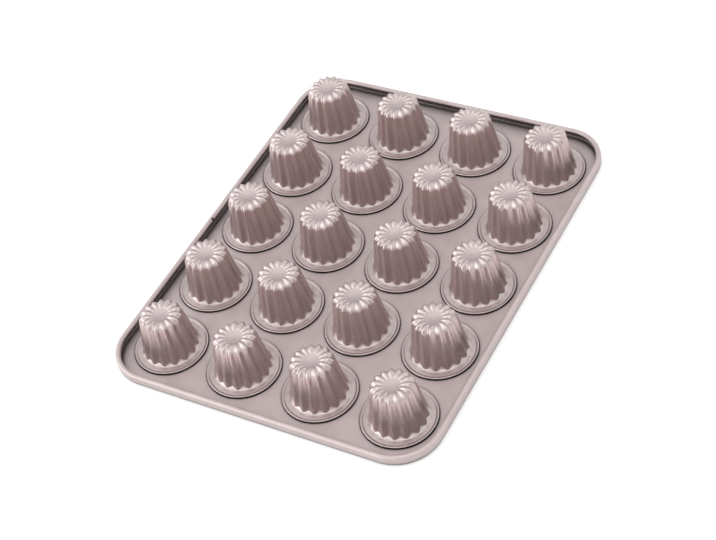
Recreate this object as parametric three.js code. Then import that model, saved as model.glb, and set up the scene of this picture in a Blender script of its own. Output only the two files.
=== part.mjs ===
// Canele pan: a flat sheet tray with a wired edge, and fluted cups crimped over the holes in it.
// Millimetres, +Z up. The pan lies cups up, with its flat baking face down on z = 0.
import * as THREE from 'three';
import { mergeVertices } from 'three/addons/utils/BufferGeometryUtils.js';

// Cup grid: columns lie side by side along X, rows one behind the other along Y, with a gap between hems.
const columns = 4;
const rows = 5;
const columnGap = 9.4;
const rowGap = 9.9;

// Tray: flat land round the outer hems, then an edge that stands up and curls inward over a wire.
const traySheet = 0.8;
const sideLand = 11.4;
const endLand = 15.8;
const cornerRadius = 46;
const edgeBendRadius = 4;
const edgeHeight = 11;
const curlRadius = 2.5;
const curlLipAngle = 215;
const wireClearance = 0.3;

// Cup: a drawn shell with convex ribs that turn over its shoulder into petals round a dimple.
const cupSheet = 0.8;
const ribCount = 15;
const ribDepth = 2.6;
const ribCrestShare = 0.44;
const wallHeight = 37;
const footRadius = 24.8;
const shoulderRadius = 18.4;
const shoulderRise = 5;
const petalRadius = 13.4;
const petalNotch = 1.4;
const dimpleRadius = 7;
const dimpleDepth = 3.3;

// Cup flange: it lies on the tray round the hole, and its edge is hemmed.
const flangeWidth = 8;
const hemWidth = 2.6;
const hemRise = 0.8;
const seatGap = 0.3;
const holeMargin = 2.7;

// Facet counts
const cornerSegments = 5;
const bendSegments = 3;
const curlSegments = 5;
const wireSides = 6;
const roundSegments = 18;
const dimpleSides = 9;

const coating = { color: 0xb9adab, roughness: 0.38, metalness: 0.85 };
const bareSteel = { color: 0x5d5a58, roughness: 0.55, metalness: 0.9 };

const fullTurn = 2 * Math.PI;
const ribPitch = fullTurn / ribCount;
const curlHeight = edgeHeight - curlRadius;
const flangeRadius = footRadius + flangeWidth;
const flangeSeat = traySheet + seatGap;
const columnPitch = 2 * flangeRadius + columnGap;
const rowPitch = 2 * flangeRadius + rowGap;
const halfWidth = (columns - 1) * columnPitch / 2 + flangeRadius + sideLand;
const halfLength = (rows - 1) * rowPitch / 2 + flangeRadius + endLand;

// A ring is a closed row of points in order of their angle, or of their place along an outline.
function ringFrom(angles, radiusAt, heightAt) {
  return angles.map((angle, index) => ({
    along: angle,
    point: new THREE.Vector3(
      radiusAt(index) * Math.cos(angle),
      radiusAt(index) * Math.sin(angle),
      heightAt(index),
    ),
  }));
}

function evenAngles(count) {
  return Array.from({ length: count }, (_, index) => index * fullTurn / count);
}

function roundRing(count, radius, height) {
  return ringFrom(evenAngles(count), () => radius, () => height);
}

// Two crest corners and one valley for each rib.
function ribbedRing(crestRadius, height) {
  const phases = [-ribCrestShare / 2, ribCrestShare / 2, 0.5];
  const angles = evenAngles(ribCount).flatMap((start) => phases.map((phase) => start + phase * ribPitch));
  const isValley = (index) => index % phases.length === phases.length - 1;
  return ringFrom(angles, (index) => crestRadius - (isValley(index) ? ribDepth : 0), () => height);
}

// One crest and one notch for each petal.
function petalRing(crestRadius, crestHeight) {
  const isNotch = (index) => index % 2 === 1;
  return ringFrom(
    evenAngles(2 * ribCount),
    () => crestRadius,
    (index) => crestHeight - (isNotch(index) ? petalNotch : 0),
  );
}

// Triangles between two rings, which may have different counts of points.
function band(lower, upper) {
  const at = (ring, index) => ring[index % ring.length].point;
  const next = (ring, index) => (
    index + 1 < ring.length ? ring[index + 1].along : ring[0].along + fullTurn
  );
  const triangles = [];
  let low = 0;
  let high = 0;
  while (low < lower.length || high < upper.length) {
    const stepLow = high === upper.length
      || (low < lower.length && next(lower, low) <= next(upper, high));
    if (stepLow) {
      triangles.push([at(lower, low), at(lower, low + 1), at(upper, high)]);
      low += 1;
    } else {
      triangles.push([at(lower, low), at(upper, high + 1), at(upper, high)]);
      high += 1;
    }
  }
  return triangles;
}

function bands(rings) {
  return rings.slice(1).flatMap((ring, index) => band(rings[index], ring));
}

// A flat face inside a ring, less the holes, turned up or down.
function flatFace(outline, holes, facesUp) {
  const flat = (ring) => ring.map(({ point }) => new THREE.Vector2(point.x, point.y));
  const points = [outline, ...holes].flat().map(({ point }) => point);
  return THREE.ShapeUtils.triangulateShape(flat(outline), holes.map(flat)).map((corners) => {
    const [a, b, c] = corners.map((corner) => points[corner]);
    const turn = (b.x - a.x) * (c.y - a.y) - (b.y - a.y) * (c.x - a.x);
    return (turn > 0) === facesUp ? [a, b, c] : [a, c, b];
  });
}

function meshFrom(name, triangles, finish) {
  const soup = new THREE.BufferGeometry().setFromPoints(triangles.flat());
  const geometry = mergeVertices(soup);
  geometry.computeVertexNormals();
  const mesh = new THREE.Mesh(geometry, new THREE.MeshStandardMaterial({ ...finish, flatShading: true }));
  mesh.name = name;
  return mesh;
}

// The tray's rounded outline, drawn in by an inset from its outer edge.
function outlineRing(inset, height) {
  const corners = [[1, 1], [-1, 1], [-1, -1], [1, -1]];
  const reach = cornerRadius - inset;
  const points = corners.flatMap(([sideX, sideY], corner) => (
    Array.from({ length: cornerSegments + 1 }, (_, step) => {
      const angle = (corner + step / cornerSegments) * fullTurn / corners.length;
      return new THREE.Vector3(
        sideX * (halfWidth - cornerRadius) + reach * Math.cos(angle),
        sideY * (halfLength - cornerRadius) + reach * Math.sin(angle),
        height,
      );
    })
  ));
  return points.map((point, index) => ({ along: index * fullTurn / points.length, point }));
}

// Points of a round stretch in the edge's section, as insets and heights.
function sectionArc(inset, height, radius, startDegrees, endDegrees, segments) {
  return Array.from({ length: segments + 1 }, (_, step) => {
    const angle = THREE.MathUtils.degToRad(startDegrees + (endDegrees - startDegrees) * step / segments);
    return [inset - radius * Math.cos(angle), height + radius * Math.sin(angle)];
  });
}

function cupCentres() {
  const centres = [];
  for (let row = 0; row < rows; row += 1) {
    for (let column = 0; column < columns; column += 1) {
      centres.push({
        name: `cup_r${row + 1}_c${column + 1}`,
        x: (column - (columns - 1) / 2) * columnPitch,
        y: (row - (rows - 1) / 2) * rowPitch,
      });
    }
  }
  return centres;
}

function shifted(ring, x, y) {
  const offset = new THREE.Vector3(x, y, 0);
  return ring.map(({ along, point }) => ({ along, point: point.clone().add(offset) }));
}

function makeTray() {
  const bend = edgeBendRadius;
  const curl = curlRadius;
  const section = [
    ...sectionArc(bend, bend, bend, -90, 0, bendSegments),
    ...sectionArc(curl, curlHeight, curl, 0, curlLipAngle, curlSegments),
    ...sectionArc(curl, curlHeight, curl - traySheet, curlLipAngle, 0, curlSegments),
    ...sectionArc(bend, bend, bend - traySheet, 0, -90, bendSegments),
  ];
  const edge = section.map(([inset, height]) => outlineRing(inset, height));
  const holesAt = (height) => cupCentres().map(({ x, y }) => (
    shifted(roundRing(roundSegments, footRadius + holeMargin, height), x, y)
  ));
  const below = holesAt(0);
  const above = holesAt(traySheet);
  return meshFrom('tray', [
    ...bands(edge),
    ...flatFace(edge[0], below, false),
    ...flatFace(edge[edge.length - 1], above, true),
    ...above.flatMap((ring, index) => band(ring, below[index])),
  ], coating);
}

function makeRimWire() {
  const radius = curlRadius - traySheet - wireClearance;
  const section = sectionArc(curlRadius, curlHeight, radius, 0, 360, wireSides).slice(1);
  const lines = section.map(([inset, height]) => outlineRing(inset, height));
  return meshFrom('rim_wire', bands([...lines, lines[0]]), bareSteel);
}

function makeCup(name) {
  const flangeTop = flangeSeat + cupSheet;
  const shoulder = flangeTop + wallHeight;
  const top = shoulder + shoulderRise;
  const dimple = top - dimpleDepth;
  const inner = [
    roundRing(dimpleSides, dimpleRadius, dimple - cupSheet),
    petalRing(petalRadius - cupSheet / 2, top - cupSheet),
    ribbedRing(shoulderRadius - cupSheet, shoulder - cupSheet / 2),
    ribbedRing(footRadius - cupSheet, flangeSeat),
  ];
  const outer = [
    roundRing(roundSegments, flangeRadius, flangeSeat),
    roundRing(roundSegments, flangeRadius, flangeTop + hemRise),
    roundRing(roundSegments, flangeRadius - hemWidth, flangeTop),
    ribbedRing(footRadius, flangeTop),
    ribbedRing(shoulderRadius, shoulder),
    petalRing(petalRadius, top),
    roundRing(dimpleSides, dimpleRadius, dimple),
  ];
  return meshFrom(name, [
    ...flatFace(inner[0], [], false),
    ...bands([...inner, ...outer]),
    ...flatFace(outer[outer.length - 1], [], true),
  ], coating);
}

function makePan() {
  const pan = new THREE.Group();
  pan.add(makeTray(), makeRimWire());
  for (const { name, x, y } of cupCentres()) {
    const cup = makeCup(name);
    cup.position.set(x, y, 0);
    pan.add(cup);
  }
  return pan;
}

export default makePan();
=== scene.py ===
"""Canele pan: a coated sheet tray with a wired edge and fluted cups, dressed over the packed part."""

import math

import bmesh
import bpy
from mathutils import Matrix, Vector


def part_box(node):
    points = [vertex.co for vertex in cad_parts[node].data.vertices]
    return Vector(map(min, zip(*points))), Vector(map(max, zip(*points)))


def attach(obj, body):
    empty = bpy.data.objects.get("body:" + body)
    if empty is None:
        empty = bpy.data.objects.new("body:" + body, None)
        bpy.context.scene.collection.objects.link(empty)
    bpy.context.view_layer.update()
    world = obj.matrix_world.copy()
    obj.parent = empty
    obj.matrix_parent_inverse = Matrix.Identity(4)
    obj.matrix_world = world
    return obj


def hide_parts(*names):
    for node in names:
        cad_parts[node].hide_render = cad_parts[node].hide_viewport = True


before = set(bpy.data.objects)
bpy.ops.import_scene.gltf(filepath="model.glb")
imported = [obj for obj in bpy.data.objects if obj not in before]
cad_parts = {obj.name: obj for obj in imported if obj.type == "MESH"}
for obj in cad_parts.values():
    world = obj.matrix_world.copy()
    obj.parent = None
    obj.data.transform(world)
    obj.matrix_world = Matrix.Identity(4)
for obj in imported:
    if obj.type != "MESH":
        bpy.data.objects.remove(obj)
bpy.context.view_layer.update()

bl_info = {
    "name": "Canele Pan",
    "version": (1, 0, 0),
    "blender": (4, 5, 0),
    "location": "3D View > Sidebar > Canele Pan",
    "description": "Models a coated baking tray of fluted cups, its wired edge and its photo stage",
    "category": "Object",
}

CUP_NODES = sorted(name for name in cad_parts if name.startswith("cup_"))
TRAY_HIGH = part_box("tray")[1]
FIRST_CUP_LOW, FIRST_CUP_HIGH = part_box(CUP_NODES[0])
SHEET = 0.0008
WALL_RISE = 0.037
WALL_DRAW_IN = 0.0055
WHITE = (1, 1, 1)


class CaneleTraySettings(bpy.types.PropertyGroup):
    """Sizes of the tray sheet and of the wire in its edge"""

    half_width: bpy.props.FloatProperty(
        name="Half Width",
        description="From the middle of the tray to its long edge",
        default=TRAY_HIGH.x,
        unit="LENGTH",
    )
    half_length: bpy.props.FloatProperty(
        name="Half Length",
        description="From the middle of the tray to its short edge",
        default=TRAY_HIGH.y,
        unit="LENGTH",
    )
    sheet: bpy.props.FloatProperty(
        name="Sheet",
        description="Thickness of the tray's sheet metal",
        default=SHEET,
        unit="LENGTH",
    )
    corner_radius: bpy.props.FloatProperty(
        name="Corner Radius",
        description="Radius of the tray's corners, seen from above",
        default=0.0395,
        unit="LENGTH",
    )
    bend_radius: bpy.props.FloatProperty(
        name="Bend Radius",
        description="Outer radius of the bend between the flat tray and its edge",
        default=0.0036,
        unit="LENGTH",
    )
    edge_height: bpy.props.FloatProperty(
        name="Edge Height",
        description="Height of the tray's edge, to the top of its curl",
        default=TRAY_HIGH.z,
        unit="LENGTH",
    )
    curl_radius: bpy.props.FloatProperty(
        name="Curl Radius",
        description="Outer radius of the curl that covers the wire",
        default=0.0025,
        unit="LENGTH",
    )
    lip_angle: bpy.props.FloatProperty(
        name="Lip Angle",
        description="How far round the wire the curl goes, from straight out",
        default=math.radians(170),
        subtype="ANGLE",
    )
    hole_radius: bpy.props.FloatProperty(
        name="Hole Radius",
        description="Radius of the tray's holes under the cups",
        default=0.0275,
        unit="LENGTH",
    )
    wire_radius: bpy.props.FloatProperty(
        name="Wire Radius",
        description="Radius of the stiffening wire in the curl",
        default=0.0014,
        unit="LENGTH",
    )
    notch_width: bpy.props.FloatProperty(
        name="Notch Width",
        description="Width of the notch in the lip where the wire's ends meet",
        default=0.0022,
        unit="LENGTH",
    )
    notch_place: bpy.props.FloatProperty(
        name="Notch Place",
        description="How far the notch lies along the left edge from its middle",
        default=-0.012,
        unit="LENGTH",
    )


class CaneleCupSettings(bpy.types.PropertyGroup):
    """Sizes of one fluted cup"""

    rib_count: bpy.props.IntProperty(
        name="Ribs", description="Number of ribs round a cup", default=15, min=3
    )
    rib_depth: bpy.props.FloatProperty(
        name="Rib Depth",
        description="From a rib's crest to the valley beside it",
        default=0.0025,
        unit="LENGTH",
    )
    sheet: bpy.props.FloatProperty(
        name="Sheet",
        description="Thickness of the cup's sheet metal",
        default=SHEET,
        unit="LENGTH",
    )
    flange_radius: bpy.props.FloatProperty(
        name="Flange Radius",
        description="Radius of the flange to the outside of its hem",
        default=(FIRST_CUP_HIGH.x - FIRST_CUP_LOW.x) / 2,
        unit="LENGTH",
    )
    flange_top: bpy.props.FloatProperty(
        name="Flange Top",
        description="Height of the flat flange above the floor",
        default=FIRST_CUP_LOW.z + SHEET,
        unit="LENGTH",
    )
    foot_radius: bpy.props.FloatProperty(
        name="Foot Radius",
        description="Radius to the rib crests where the wall meets the flange",
        default=0.0249,
        unit="LENGTH",
    )
    crest_fillet: bpy.props.FloatProperty(
        name="Crest Fillet",
        description="Radius of the hollow round between a rib's crest and the flange",
        default=0.0012,
        unit="LENGTH",
    )
    valley_fillet: bpy.props.FloatProperty(
        name="Valley Fillet",
        description="Radius of the hollow round between a valley and the flange",
        default=0.0058,
        unit="LENGTH",
    )
    wall_lean: bpy.props.FloatProperty(
        name="Wall Lean",
        description="How far the wall leans inward from upright",
        default=math.atan(WALL_DRAW_IN / WALL_RISE),
        subtype="ANGLE",
    )
    top: bpy.props.FloatProperty(
        name="Top",
        description="Height of the petals' crests above the floor",
        default=FIRST_CUP_HIGH.z,
        unit="LENGTH",
    )
    crest_round: bpy.props.FloatProperty(
        name="Crest Round",
        description="Radius over which a rib's crest turns into its petal",
        default=0.0066,
        unit="LENGTH",
    )
    valley_round: bpy.props.FloatProperty(
        name="Valley Round",
        description="Radius over which a valley turns in between two petals",
        default=0.0054,
        unit="LENGTH",
    )
    petal_notch: bpy.props.FloatProperty(
        name="Petal Notch",
        description="How far the lines between the petals lie below their crests",
        default=0.0013,
        unit="LENGTH",
    )
    dimple_depth: bpy.props.FloatProperty(
        name="Dimple Depth",
        description="How far the dimple's floor lies below the petals' crests",
        default=0.0033,
        unit="LENGTH",
    )


class CaneleFinishSettings(bpy.types.PropertyGroup):
    """Colours of the pan's finishes"""

    coating_light: bpy.props.FloatVectorProperty(
        name="Coating Light",
        description="Lighter tone of the satin coating",
        default=(0.45, 0.387, 0.384),
        subtype="COLOR",
        min=0,
        max=1,
    )
    coating_deep: bpy.props.FloatVectorProperty(
        name="Coating Deep",
        description="Deeper tone of the satin coating",
        default=(0.383, 0.325, 0.322),
        subtype="COLOR",
        min=0,
        max=1,
    )
    # the wire's tones are kept near black, partly as painted shade for the hollow under the curl
    wire_light: bpy.props.FloatVectorProperty(
        name="Wire Light",
        description="Lighter tone of the dark wire",
        default=(0.07, 0.06, 0.06),
        subtype="COLOR",
        min=0,
        max=1,
    )
    wire_deep: bpy.props.FloatVectorProperty(
        name="Wire Deep",
        description="Deeper tone of the dark wire",
        default=(0.03, 0.025, 0.025),
        subtype="COLOR",
        min=0,
        max=1,
    )


class CaneleStageSettings(bpy.types.PropertyGroup):
    """The floor and the camera"""

    floor_colour: bpy.props.FloatVectorProperty(
        name="Floor",
        description="Colour of the plain floor",
        default=(0.55, 0.55, 0.55),
        subtype="COLOR",
        min=0,
        max=1,
    )
    floor_glow: bpy.props.FloatProperty(
        name="Floor Glow",
        description="How brightly the floor is lit from below, like a light table",
        default=0.45,
        min=0,
    )
    camera_place: bpy.props.FloatVectorProperty(
        name="Camera",
        description="Place of the camera",
        default=(0.65907, -0.84703, 1.08737),
        subtype="TRANSLATION",
        unit="LENGTH",
    )
    camera_lens: bpy.props.FloatProperty(
        name="Lens",
        description="Focal length of the camera on a 36 mm sensor, in millimetres",
        default=86.36,
    )


def clear_selection():
    """Leaves edit mode and deselects every object."""
    if bpy.context.object and bpy.context.object.mode != "OBJECT":
        bpy.ops.object.mode_set(mode="OBJECT")
    bpy.ops.object.select_all(action="DESELECT")


def make_active(*objects):
    """Selects only these objects, the first of them active."""
    clear_selection()
    for item in objects:
        item.select_set(True)
    bpy.context.view_layer.objects.active = objects[0]


def apply_modifier(item, kind, **values):
    """Adds a modifier with these values and applies it."""
    make_active(item)
    modifier = item.modifiers.new(kind.title(), kind)
    for name, value in values.items():
        setattr(modifier, name, value)
    bpy.ops.object.modifier_apply(modifier=modifier.name)


def dress(item, node, material):
    """Gives a finished piece its material and ties it to the part."""
    item.data.materials.clear()
    item.data.materials.append(material)
    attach(item, "root")
    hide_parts(node)


def cup_middle(node):
    """The middle of a cup's box."""
    low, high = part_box(node)
    return (low + high) / 2


def rounded_sheet(half_width, half_length, corner_radius, height, corner_segments=14):
    """A flat face with round corners, left selected in edit mode."""
    clear_selection()
    bpy.ops.mesh.primitive_plane_add(size=2)
    sheet = bpy.context.object
    bpy.ops.object.mode_set(mode="EDIT")
    bpy.ops.transform.resize(value=(half_width, half_length, 1))
    bpy.ops.transform.translate(value=(0, 0, height))
    bpy.ops.mesh.bevel(offset=corner_radius, segments=corner_segments, affect="VERTICES")
    bpy.ops.mesh.select_mode(type="FACE")
    bpy.ops.mesh.select_all(action="SELECT")
    return sheet


def inset_along(section):
    """Insets the selected face along a section of insets and heights."""
    for (inset, height), (next_inset, next_height) in zip(section, section[1:]):
        bpy.ops.mesh.inset(thickness=next_inset - inset, depth=next_height - height)


def section_arc(radius, start, end, steps):
    """Insets and heights along a round stretch of the edge, from its outermost line."""
    angles = [start + (end - start) * step / steps for step in range(steps + 1)]
    return [(radius - radius * math.cos(angle), radius * math.sin(angle)) for angle in angles]


def add_node(tree, kind, values=None, **settings):
    """A new node with these settings, and with these values on its inputs."""
    node = tree.nodes.new(kind)
    for name, setting in settings.items():
        setattr(node, name, setting)
    for socket, value in (values or {}).items():
        node.inputs[socket].default_value = value
    return node


def mix_colours(tree, share, first, second, blend_type="MIX"):
    """The socket of two colours mixed by a share. The node's own socket names aren't unique."""
    factor, first_colour, second_colour, mixed_colour = 0, 6, 7, 2
    mix = add_node(tree, "ShaderNodeMix", data_type="RGBA", blend_type=blend_type)
    tree.links.new(share, mix.inputs[factor])
    tree.links.new(first, mix.inputs[first_colour])
    tree.links.new(second, mix.inputs[second_colour])
    return mix.outputs[mixed_colour]


def new_material(name):
    """A node material, its shader and a source of object coordinates."""
    material = bpy.data.materials.new(name)
    material.use_nodes = True
    place = add_node(material.node_tree, "ShaderNodeTexCoord")
    return material, material.node_tree.nodes["Principled BSDF"], place.outputs["Object"]


def surface_grain():
    """The node group that gives a metal skin its flecks, soft clouds and fine unevenness."""
    found = bpy.data.node_groups.get("surface grain")
    if found:
        return found
    peel_to_fleck = 0.2
    fleck_relief = 0.35
    group = bpy.data.node_groups.new("surface grain", "ShaderNodeTree")
    group.interface.new_socket("Place", in_out="INPUT", socket_type="NodeSocketVector")
    for name in ("Fleck Scale", "Cloud Scale"):
        group.interface.new_socket(name, in_out="INPUT", socket_type="NodeSocketFloat")
    for name in ("Flecks", "Clouds", "Height"):
        group.interface.new_socket(name, in_out="OUTPUT", socket_type="NodeSocketFloat")
    entry = add_node(group, "NodeGroupInput")
    way_out = add_node(group, "NodeGroupOutput")
    flecks = add_node(group, "ShaderNodeTexNoise", {"Detail": 2})
    clouds = add_node(group, "ShaderNodeTexNoise", {"Detail": 3})
    peel = add_node(group, "ShaderNodeTexNoise", {"Detail": 1})
    peel_scale = add_node(group, "ShaderNodeMath", {1: peel_to_fleck}, operation="MULTIPLY")
    height = add_node(group, "ShaderNodeMath", {1: fleck_relief}, operation="MULTIPLY_ADD")
    for noise in (flecks, clouds, peel):
        group.links.new(entry.outputs["Place"], noise.inputs["Vector"])
    group.links.new(entry.outputs["Fleck Scale"], flecks.inputs["Scale"])
    group.links.new(entry.outputs["Cloud Scale"], clouds.inputs["Scale"])
    group.links.new(entry.outputs["Fleck Scale"], peel_scale.inputs[0])
    group.links.new(peel_scale.outputs[0], peel.inputs["Scale"])
    group.links.new(flecks.outputs["Fac"], height.inputs[0])
    group.links.new(peel.outputs["Fac"], height.inputs[2])
    group.links.new(flecks.outputs["Fac"], way_out.inputs["Flecks"])
    group.links.new(clouds.outputs["Fac"], way_out.inputs["Clouds"])
    group.links.new(height.outputs[0], way_out.inputs["Height"])
    return group


def grained_metal(name, deep, light, fleck_scale, cloud_scale, rough_low, rough_high, relief):
    """A metal skin whose tone, gloss and relief follow the surface grain."""
    bump_distance = 0.0001
    deep_below, light_above = 0.35, 0.65
    clouds_low, clouds_high = 0.3, 0.7
    material, shader, place = new_material(name)
    tree = material.node_tree
    grain = add_node(tree, "ShaderNodeGroup", node_tree=surface_grain())
    grain.inputs["Fleck Scale"].default_value = fleck_scale
    grain.inputs["Cloud Scale"].default_value = cloud_scale
    half_clouds = add_node(tree, "ShaderNodeMath", {1: 0.5}, operation="MULTIPLY")
    blend = add_node(tree, "ShaderNodeMath", {1: 0.5}, operation="MULTIPLY_ADD")
    tone = add_node(tree, "ShaderNodeValToRGB")
    low_stop, high_stop = tone.color_ramp.elements
    low_stop.position, low_stop.color = deep_below, (*deep, 1)
    high_stop.position, high_stop.color = light_above, (*light, 1)
    gloss = add_node(tree, "ShaderNodeMapRange", {
        "From Min": clouds_low,
        "From Max": clouds_high,
        "To Min": rough_low,
        "To Max": rough_high,
    })
    bump = add_node(tree, "ShaderNodeBump", {"Strength": relief, "Distance": bump_distance})
    tree.links.new(place, grain.inputs["Place"])
    tree.links.new(grain.outputs["Clouds"], half_clouds.inputs[0])
    tree.links.new(grain.outputs["Flecks"], blend.inputs[0])
    tree.links.new(half_clouds.outputs[0], blend.inputs[2])
    tree.links.new(blend.outputs[0], tone.inputs["Fac"])
    tree.links.new(tone.outputs["Color"], shader.inputs["Base Color"])
    tree.links.new(grain.outputs["Clouds"], gloss.inputs["Value"])
    tree.links.new(gloss.outputs["Result"], shader.inputs["Roughness"])
    tree.links.new(grain.outputs["Height"], bump.inputs["Height"])
    tree.links.new(bump.outputs["Normal"], shader.inputs["Normal"])
    return material, shader, place


def paint_crevice_shade(tree, shader):
    """Darkens the base colour as painted shade where other metal is close, as under the curl and round
    the hems.
    """
    reach = 0.0075
    closed_share, open_share = 0.62, 0.9
    # tone of the base colour where the painted shade is deepest
    deepest_painted_shade = 0.05
    tone = shader.inputs["Base Color"].links[0].from_socket
    nearness = add_node(tree, "ShaderNodeAmbientOcclusion", {"Distance": reach}, samples=8)
    brightness = add_node(tree, "ShaderNodeMapRange", {
        "From Min": closed_share,
        "From Max": open_share,
        "To Min": deepest_painted_shade,
    })
    painted_shade = add_node(tree, "ShaderNodeVectorMath", operation="SCALE")
    tree.links.new(nearness.outputs["AO"], brightness.inputs["Value"])
    tree.links.new(tone, painted_shade.inputs[0])
    tree.links.new(brightness.outputs["Result"], painted_shade.inputs["Scale"])
    tree.links.new(painted_shade.outputs[0], shader.inputs["Base Color"])


def paint_wall_shading(tree, shader, place):
    """Paints shade and light into the base colour on the steep walls: deeper and redder toward the foot
    as painted shade, lighter toward the top as painted light; leaves the flat parts alone.
    """
    wall_foot, wall_top = 0.005, 0.035
    # painted shade at the walls' feet, painted light at their tops
    painted_foot_shade, painted_top_light = (0.92, 0.83, 0.83), (1.24, 1.14, 1.13)
    steep, shallow = 0.18, 0.4
    tone = shader.inputs["Base Color"].links[0].from_socket
    spot = add_node(tree, "ShaderNodeSeparateXYZ")
    up_wall = add_node(tree, "ShaderNodeMapRange", {"From Min": wall_foot, "From Max": wall_top})
    painted_wall_shading = add_node(tree, "ShaderNodeValToRGB")
    foot_stop, top_stop = painted_wall_shading.color_ramp.elements
    foot_stop.color, top_stop.color = (*painted_foot_shade, 1), (*painted_top_light, 1)
    surface = add_node(tree, "ShaderNodeNewGeometry")
    facing = add_node(tree, "ShaderNodeSeparateXYZ")
    slope = add_node(tree, "ShaderNodeMath", operation="ABSOLUTE")
    wall_share = add_node(tree, "ShaderNodeMapRange", {
        "From Min": steep,
        "From Max": shallow,
        "To Min": 1,
        "To Max": 0,
    })
    tree.links.new(place, spot.inputs[0])
    tree.links.new(spot.outputs["Z"], up_wall.inputs["Value"])
    tree.links.new(up_wall.outputs["Result"], painted_wall_shading.inputs["Fac"])
    tree.links.new(surface.outputs["Normal"], facing.inputs[0])
    tree.links.new(facing.outputs["Z"], slope.inputs[0])
    tree.links.new(slope.outputs[0], wall_share.inputs["Value"])
    wall_shaded = mix_colours(
        tree, wall_share.outputs["Result"], tone, painted_wall_shading.outputs["Color"], blend_type="MULTIPLY"
    )
    tree.links.new(wall_shaded, shader.inputs["Base Color"])


def sheet_coating(finish):
    """The pale mauve satin coating on the flat tray, with painted shade darkening it along its seams.
    """
    material, shader, _ = grained_metal(
        "sheet_coating",
        finish.coating_deep,
        finish.coating_light,
        fleck_scale=2600,
        cloud_scale=60,
        rough_low=0.4,
        rough_high=0.48,
        relief=0.12,
    )
    shader.inputs["Metallic"].default_value = 0.5
    shader.inputs["Specular IOR Level"].default_value = 0.1
    # painted shade: the tray's colour darkens in its crevices under the curl and round the hems
    paint_crevice_shade(material.node_tree, shader)
    return material


def drawn_coating(finish):
    """The same coating on the cups, smoother where the sheet was drawn, with painted shade deeper down
    the walls and painted light higher up.
    """
    material, shader, place = grained_metal(
        "drawn_coating",
        finish.coating_deep,
        finish.coating_light,
        fleck_scale=2600,
        cloud_scale=60,
        rough_low=0.34,
        rough_high=0.4,
        relief=0.1,
    )
    shader.inputs["Metallic"].default_value = 0.85
    # painted shade darkens the walls toward their feet and painted light brightens them toward their
    # tops
    paint_wall_shading(material.node_tree, shader, place)
    return material


def shade_dark_wire(finish):
    """The drawn wire inside the curl, its near-black tone partly painted shade for the hollow under the
    curl.
    """
    material, shader, _ = grained_metal(
        "shade_dark_wire",
        finish.wire_deep,
        finish.wire_light,
        fleck_scale=1800,
        cloud_scale=120,
        rough_low=0.5,
        rough_high=0.65,
        relief=0.3,
    )
    shader.inputs["Metallic"].default_value = 0.6
    return material


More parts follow.
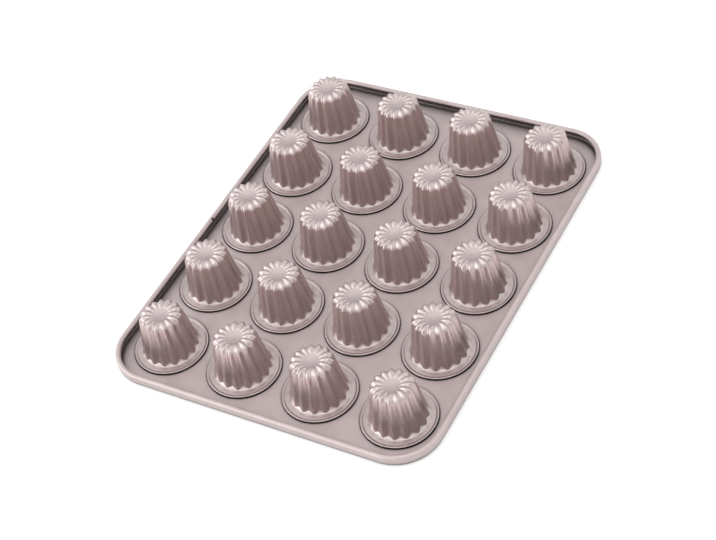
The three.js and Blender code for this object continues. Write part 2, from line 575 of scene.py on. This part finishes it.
class CANELE_OT_stage(bpy.types.Operator):
    """Sets the plain floor, the soft studio light and the camera"""

    bl_idname = "canele.stage"
    bl_label = "Stage"

    floor_size = 16
    floor_drop = 0.0004

    # Brightness of the light against height: 0 is the horizon, 1 is straight overhead.
    side_glow = ((0, 1.1), (0.3, 1.8), (0.55, 1.9), (0.75, 0.9), (0.9, 1.4), (1, 1.2))
    left_glow = ((0, 1.8), (0.3, 3.8), (0.55, 4.2), (0.75, 1.3), (0.9, 1.4), (1, 1.2))
    front_glow = ((0, 0.6), (0.3, 1.3), (0.55, 0.4), (0.75, 0.7), (0.9, 3.6), (1, 1.3))
    back_glow = ((0, 0.5), (0.3, 1.0), (0.55, 0.8), (0.75, 1.02), (0.9, 1.8), (1, 1.3))
    front_tint = (1, 0.88, 0.86)
    tint_below = 0.7
    strength = 1.1

    towards_camera = Vector((0.62, -0.784, 0))
    to_its_left = Vector((-0.784, -0.62, 0))
    camera_turn = Matrix((
        (0.86939287, -0.2379954, 0.43302912),
        (0.46331554, 0.69723396, -0.54699499),
        (-0.17174032, 0.67618267, 0.7164372),
    ))

    def execute(self, context):
        stage = context.scene.canele_stage
        self.floor(stage)
        self.surrounding_light(context.scene)
        self.camera(context.scene, stage)
        context.scene.view_settings.view_transform = "Standard"
        return {"FINISHED"}

    def floor(self, stage):
        """A plain pale floor just below the pan, lit a little from below."""
        clear_selection()
        bpy.ops.mesh.primitive_plane_add(size=self.floor_size)
        floor = bpy.context.object
        floor.name = "floor"
        bpy.ops.transform.translate(value=(0, 0, -self.floor_drop))
        bpy.ops.object.transform_apply(location=True, rotation=False, scale=False)
        material, shader, _ = new_material("plain_floor")
        shader.inputs["Base Color"].default_value = (*stage.floor_colour, 1)
        shader.inputs["Roughness"].default_value = 0.8
        shader.inputs["Specular IOR Level"].default_value = 0.2
        shader.inputs["Emission Color"].default_value = (*WHITE, 1)
        shader.inputs["Emission Strength"].default_value = stage.floor_glow
        floor.data.materials.append(material)

    def surrounding_light(self, scene):
        """Soft light from all round, brightest low on the left and high over the camera."""
        scene.world = bpy.data.worlds.new("studio")
        scene.world.use_nodes = True
        tree = scene.world.node_tree
        direction = add_node(tree, "ShaderNodeTexCoord").outputs["Generated"]
        height = add_node(tree, "ShaderNodeSeparateXYZ")
        level = add_node(tree, "ShaderNodeVectorMath", {1: (1, 1, 0)}, operation="MULTIPLY")
        bearing = add_node(tree, "ShaderNodeVectorMath", operation="NORMALIZE")
        tree.links.new(direction, height.inputs[0])
        tree.links.new(direction, level.inputs[0])
        tree.links.new(level.outputs[0], bearing.inputs[0])
        glow = self.rising_glow(tree, height, self.side_glow, WHITE)
        for towards, stops, tint in (
            (self.to_its_left, self.left_glow, WHITE),
            (self.towards_camera, self.front_glow, self.front_tint),
            (-self.towards_camera, self.back_glow, WHITE),
        ):
            facing = add_node(tree, "ShaderNodeVectorMath", {1: towards}, operation="DOT_PRODUCT")
            ahead = add_node(tree, "ShaderNodeMath", {1: 0}, operation="MAXIMUM")
            share = add_node(tree, "ShaderNodeMath", operation="MULTIPLY", use_clamp=True)
            tree.links.new(bearing.outputs[0], facing.inputs[0])
            tree.links.new(facing.outputs["Value"], ahead.inputs[0])
            tree.links.new(ahead.outputs[0], share.inputs[0])
            tree.links.new(ahead.outputs[0], share.inputs[1])
            side = self.rising_glow(tree, height, stops, tint)
            glow = mix_colours(tree, share.outputs[0], glow, side)
        background = tree.nodes["Background"]
        tree.links.new(glow, background.inputs["Color"])
        background.inputs["Strength"].default_value = self.strength

    def rising_glow(self, tree, height, stops, low_tint):
        """A ramp of brightness from the horizon, where it is tinted, up to straight overhead."""
        ramp = add_node(tree, "ShaderNodeValToRGB")
        while len(ramp.color_ramp.elements) < len(stops):
            ramp.color_ramp.elements.new(0.5)
        for element, (position, value) in zip(ramp.color_ramp.elements, stops):
            element.position = position
            tint = low_tint if position < self.tint_below else WHITE
            element.color = (*(value * channel for channel in tint), 1)
        tree.links.new(height.outputs["Z"], ramp.inputs["Fac"])
        return ramp.outputs["Color"]

    def camera(self, scene, stage):
        """A camera at the photograph's place and angle."""
        clear_selection()
        bpy.ops.object.camera_add()
        camera = bpy.context.object
        camera.name = "photo_camera"
        camera.matrix_world = Matrix.Translation(stage.camera_place) @ self.camera_turn.to_4x4()
        camera.data.lens = stage.camera_lens
        camera.data.sensor_width = 36
        camera.data.clip_start = 0.05
        scene.camera = camera


class CANELE_OT_tray(bpy.types.Operator):
    """Models the tray sheet with its curled edge, holes and lip notch"""

    bl_idname = "canele.tray"
    bl_label = "Tray"

    bend_steps = 10
    curl_steps = 24
    flat_margin = 0.001
    weld_distance = 1e-6
    edge_ease = 0.00018
    ease_angle = math.radians(60)
    smooth_angle = math.radians(35)
    hole_sides = 96
    cutter_depth = 0.006
    notch_reach = 0.0036
    notch_height = 0.005
    notch_ease = 0.0004

    def execute(self, context):
        sizes = context.scene.canele_tray
        tray = self.flat_and_bend(sizes)
        curl = self.curl(sizes)
        make_active(tray, curl)
        bpy.ops.object.join()
        bpy.ops.object.mode_set(mode="EDIT")
        bpy.ops.mesh.select_all(action="SELECT")
        bpy.ops.mesh.remove_doubles(threshold=self.weld_distance)
        bpy.ops.object.mode_set(mode="OBJECT")
        tray.name = tray.data.name = "curled_tray"
        apply_modifier(tray, "SOLIDIFY", thickness=sizes.sheet, offset=-1, use_even_offset=True)
        apply_modifier(
            tray,
            "BEVEL",
            width=self.edge_ease,
            segments=2,
            limit_method="ANGLE",
            angle_limit=self.ease_angle,
        )
        for cutter in (self.hole_cutter(sizes), self.notch_cutter(sizes)):
            apply_modifier(tray, "BOOLEAN", object=cutter, operation="DIFFERENCE", solver="EXACT")
            bpy.data.objects.remove(cutter)
        make_active(tray)
        bpy.ops.object.shade_smooth_by_angle(angle=self.smooth_angle)
        dress(tray, "tray", sheet_coating(context.scene.canele_finish))
        return {"FINISHED"}

    def flat_and_bend(self, sizes):
        """The flat of the tray, the bend round it and the edge that stands up from the bend."""
        curl_height = sizes.edge_height - sizes.curl_radius
        flat = rounded_sheet(sizes.half_width, sizes.half_length, sizes.corner_radius, curl_height)
        bpy.ops.mesh.inset(thickness=0, depth=sizes.bend_radius - curl_height)
        inset_along(section_arc(sizes.bend_radius, 0, -math.pi / 2, self.bend_steps))
        bpy.ops.mesh.inset(thickness=self.flat_margin, depth=0)
        bpy.ops.mesh.select_all(action="SELECT")
        bpy.ops.mesh.flip_normals()
        bpy.ops.object.mode_set(mode="OBJECT")
        return flat

    def curl(self, sizes):
        """The curl over the wire, as far as its lip."""
        curl_height = sizes.edge_height - sizes.curl_radius
        curl = rounded_sheet(sizes.half_width, sizes.half_length, sizes.corner_radius, curl_height)
        inset_along(section_arc(sizes.curl_radius, 0, sizes.lip_angle, self.curl_steps))
        bpy.ops.mesh.delete(type="ONLY_FACE")
        bpy.ops.object.mode_set(mode="OBJECT")
        return curl

    def hole_cutter(self, sizes):
        """A round bar through the tray under each cup."""
        bars = []
        for node in CUP_NODES:
            middle = cup_middle(node)
            clear_selection()
            bpy.ops.mesh.primitive_cylinder_add(
                vertices=self.hole_sides,
                radius=sizes.hole_radius,
                depth=self.cutter_depth,
                location=(middle.x, middle.y, 0),
            )
            bars.append(bpy.context.object)
        make_active(*bars)
        bpy.ops.object.join()
        return bars[0]

    def notch_cutter(self, sizes):
        """A small round-ended block that bites into the lip."""
        lip_inset = sizes.curl_radius * (1 - math.cos(sizes.lip_angle))
        lip_height = sizes.edge_height - sizes.curl_radius * (1 - math.sin(sizes.lip_angle))
        clear_selection()
        bpy.ops.mesh.primitive_cube_add(size=1)
        block = bpy.context.object
        bpy.ops.object.mode_set(mode="EDIT")
        bpy.ops.transform.resize(value=(self.notch_reach, sizes.notch_width, self.notch_height))
        bpy.ops.mesh.bevel(offset=self.notch_ease, segments=3)
        bpy.ops.transform.translate(
            value=(lip_inset - sizes.half_width, sizes.notch_place, lip_height)
        )
        bpy.ops.object.mode_set(mode="OBJECT")
        return block


class CANELE_OT_rim_wire(bpy.types.Operator):
    """Models the round wire that stiffens the tray's edge"""

    bl_idname = "canele.rim_wire"
    bl_label = "Rim Wire"

    def execute(self, context):
        sizes = context.scene.canele_tray
        inset = sizes.curl_radius
        wire = rounded_sheet(
            sizes.half_width - inset,
            sizes.half_length - inset,
            sizes.corner_radius - inset,
            sizes.edge_height - inset,
        )
        bpy.ops.mesh.delete(type="ONLY_FACE")
        bpy.ops.object.mode_set(mode="OBJECT")
        bpy.ops.object.convert(target="CURVE")
        wire.data.bevel_depth = sizes.wire_radius
        wire.data.bevel_resolution = 4
        bpy.ops.object.convert(target="MESH")
        wire.name = wire.data.name = "edge_wire"
        bpy.ops.object.shade_smooth()
        dress(wire, "rim_wire", shade_dark_wire(context.scene.canele_finish))
        return {"FINISHED"}


class CANELE_OT_cups(bpy.types.Operator):
    """Models one fluted cup and copies it over every hole in the tray"""

    bl_idname = "canele.cups"
    bl_label = "Fluted Cups"

    steps_per_rib = 8
    foot_steps = 4
    wall_shares = (0.25, 0.5, 0.75)
    shoulder_steps = 6
    foot_lift = 0.00005
    smooth_angle = math.radians(50)

    # The hem and the groove beside it: inset from the flange's edge, and rise above the flange.
    hem_line = (
        (0, 0.00012),
        (0, 0.0003),
        (0.00012, 0.00058),
        (0.00045, 0.0008),
        (0.00095, 0.00085),
        (0.0015, 0.00066),
        (0.0021, 0.0003),
        (0.0026, -0.00012),
        (0.0031, -0.0002),
        (0.0038, 0),
    )

    # The inner ends of the petals and the bowl between them: radius, and rise above the dimple's floor.
    petal_crest = ((0.0110, 0.0032), (0.0096, 0.00278), (0.0084, 0.0021))
    petal_valley = ((0.0106, 0.00182), (0.0093, 0.0016), (0.0082, 0.0014))
    bowl = ((0.0073, 0.0012), (0.0060, 0.0008), (0.0045, 0.00045), (0.0028, 0.00016), (0.0011, 0))

    def execute(self, context):
        pattern = self.pattern_cup(context.scene.canele_cup)
        coating = drawn_coating(context.scene.canele_finish)
        for node in CUP_NODES:
            middle = cup_middle(node)
            make_active(pattern)
            bpy.ops.object.duplicate(linked=False)
            cup = context.object
            cup.name = cup.data.name = node.replace("cup", "fluted_cup")
            bpy.ops.transform.translate(value=(middle.x, middle.y, 0))
            bpy.ops.object.transform_apply(location=True, rotation=False, scale=False)
            dress(cup, node, coating)
        bpy.data.objects.remove(pattern)
        return {"FINISHED"}

    def pattern_cup(self, sizes):
        """One cup at the middle of the tray, raised ring by ring from its hem."""
        stations = self.stations(sizes)
        hem_radius, hem_height = stations[0][:2]
        clear_selection()
        bpy.ops.mesh.primitive_circle_add(
            vertices=sizes.rib_count * self.steps_per_rib, radius=hem_radius
        )
        cup = bpy.context.object
        bpy.ops.object.mode_set(mode="EDIT")
        bpy.ops.mesh.select_mode(type="VERT")
        bpy.ops.transform.translate(value=(0, 0, hem_height))
        shares = [self.depth_share(step) for step in range(self.steps_per_rib // 2 + 1)]
        for station, next_station in zip(stations, stations[1:]):
            bpy.ops.mesh.extrude_edges_move()
            ring = self.ring_by_rib_step(cup, sizes)
            for step, share in enumerate(shares):
                radius, height = self.at_share(station, share)
                next_radius, next_height = self.at_share(next_station, share)
                stretch = next_radius / radius
                self.pick(cup, ring[step])
                bpy.ops.transform.resize(value=(stretch, stretch, 1), center_override=(0, 0, 0))
                bpy.ops.transform.translate(value=(0, 0, next_height - height))
            self.pick(cup, [index for indices in ring for index in indices])
        bpy.ops.mesh.merge(type="CENTER")
        bpy.ops.mesh.select_all(action="SELECT")
        bpy.ops.mesh.normals_make_consistent(inside=False)
        bpy.ops.object.mode_set(mode="OBJECT")
        if max(cup.data.polygons, key=lambda face: face.center.z).normal.z < 0:
            cup.data.flip_normals()
        apply_modifier(cup, "SUBSURF", levels=1, render_levels=1)
        apply_modifier(cup, "SOLIDIFY", thickness=sizes.sheet, offset=-1)
        make_active(cup)
        bpy.ops.object.shade_smooth_by_angle(angle=self.smooth_angle)
        return cup

    def stations(self, sizes):
        """Crest radius, crest height, valley radius and valley height at each ring, from the hem in."""
        dish = sizes.top - sizes.dimple_depth

        def above_dish(line):
            return [(radius, dish + rise) for radius, rise in line]

        hem = [
            (sizes.flange_radius - inset, sizes.flange_top + rise) for inset, rise in self.hem_line
        ]
        crest = self.rib_line(sizes, 0, sizes.crest_fillet, sizes.crest_round, sizes.top)
        valley = self.rib_line(
            sizes,
            sizes.rib_depth,
            sizes.valley_fillet,
            sizes.valley_round,
            sizes.top - sizes.petal_notch,
        )
        crests = hem + crest + above_dish(self.petal_crest + self.bowl)
        valleys = hem + valley + above_dish(self.petal_valley + self.bowl)
        return [(*on_crest, *in_valley) for on_crest, in_valley in zip(crests, valleys)]

    def rib_line(self, sizes, depth, fillet, shoulder, top):
        """Radii and heights along a crest or a valley, from the flange to the end of the shoulder."""
        lean = sizes.wall_lean
        upright = math.pi / 2 - lean
        base = sizes.flange_top + self.foot_lift

        def wall(height):
            return sizes.foot_radius - depth - math.tan(lean) * (height - sizes.flange_top)

        foot_end = base + fillet * (1 - math.cos(upright))
        foot_middle = wall(foot_end) + fillet * math.sin(upright)
        foot_turns = [upright * step / self.foot_steps for step in range(self.foot_steps + 1)]
        line = [
            (foot_middle - fillet * math.sin(turn), base + fillet * (1 - math.cos(turn)))
            for turn in foot_turns
        ]
        shoulder_start = top - shoulder + shoulder * math.sin(lean)
        shoulder_middle = wall(shoulder_start) - shoulder * math.cos(lean)
        for share in self.wall_shares:
            height = foot_end + (shoulder_start - foot_end) * share
            line.append((wall(height), height))
        shoulder_turns = [
            lean + upright * step / self.shoulder_steps for step in range(self.shoulder_steps + 1)
        ]
        line += [
            (shoulder_middle + shoulder * math.cos(turn), top - shoulder + shoulder * math.sin(turn))
            for turn in shoulder_turns
        ]
        return line

    def depth_share(self, step):
        """How far a point lies from the crest to the valley, on a rib that waves evenly."""
        half = self.steps_per_rib // 2
        return (1 - math.cos(math.pi * step / half)) / 2

    def at_share(self, station, share):
        """Radius and height of a ring's point between its crest and its valley."""
        crest_radius, crest_height, valley_radius, valley_height = station
        return (
            crest_radius + (valley_radius - crest_radius) * share,
            crest_height + (valley_height - crest_height) * share,
        )

    def ring_by_rib_step(self, cup, sizes):
        """The selected ring's points, in groups by their step from a rib's crest."""
        half = self.steps_per_rib // 2
        groups = [[] for _ in range(half + 1)]
        turn = 2 * math.pi / (sizes.rib_count * self.steps_per_rib)
        for point in bmesh.from_edit_mesh(cup.data).verts:
            if point.select:
                step = round(math.atan2(point.co.y, point.co.x) / turn) % self.steps_per_rib
                groups[min(step, self.steps_per_rib - step)].append(point.index)
        return groups

    def pick(self, cup, indices):
        """Selects only these points of the cup, and the edges between them."""
        mesh = bmesh.from_edit_mesh(cup.data)
        mesh.verts.ensure_lookup_table()
        bpy.ops.mesh.select_all(action="DESELECT")
        for index in indices:
            mesh.verts[index].select = True
        mesh.select_flush(True)
        bmesh.update_edit_mesh(cup.data)


class CANELE_PT_pan(bpy.types.Panel):
    """Sizes, colours and making of the pan"""

    bl_label = "Canele Pan"
    bl_space_type = "VIEW_3D"
    bl_region_type = "UI"
    bl_category = "Canele Pan"

    def draw(self, context):
        scene = context.scene
        groups = (scene.canele_stage, scene.canele_tray, scene.canele_cup, scene.canele_finish)
        for settings in groups:
            box = self.layout.box()
            box.label(text=type(settings).__doc__)
            for name in type(settings).__annotations__:
                box.prop(settings, name)
        for operator in OPERATORS:
            self.layout.operator(operator.bl_idname)


SETTINGS = {
    "canele_stage": CaneleStageSettings,
    "canele_tray": CaneleTraySettings,
    "canele_cup": CaneleCupSettings,
    "canele_finish": CaneleFinishSettings,
}
OPERATORS = (CANELE_OT_stage, CANELE_OT_tray, CANELE_OT_rim_wire, CANELE_OT_cups)
CLASSES = (*SETTINGS.values(), *OPERATORS, CANELE_PT_pan)


def register():
    """Registers the classes and hangs the settings on the scene."""
    for item in CLASSES:
        bpy.utils.register_class(item)
    for name, settings in SETTINGS.items():
        setattr(bpy.types.Scene, name, bpy.props.PointerProperty(type=settings))


def unregister():
    """Takes the settings off the scene and unregisters the classes."""
    for name in SETTINGS:
        delattr(bpy.types.Scene, name)
    for item in reversed(CLASSES):
        bpy.utils.unregister_class(item)


def main():
    """Models the pan on its stage."""
    register()
    bpy.ops.canele.stage()
    bpy.ops.canele.tray()
    bpy.ops.canele.rim_wire()
    bpy.ops.canele.cups()


if __name__ == "__main__":
    main()
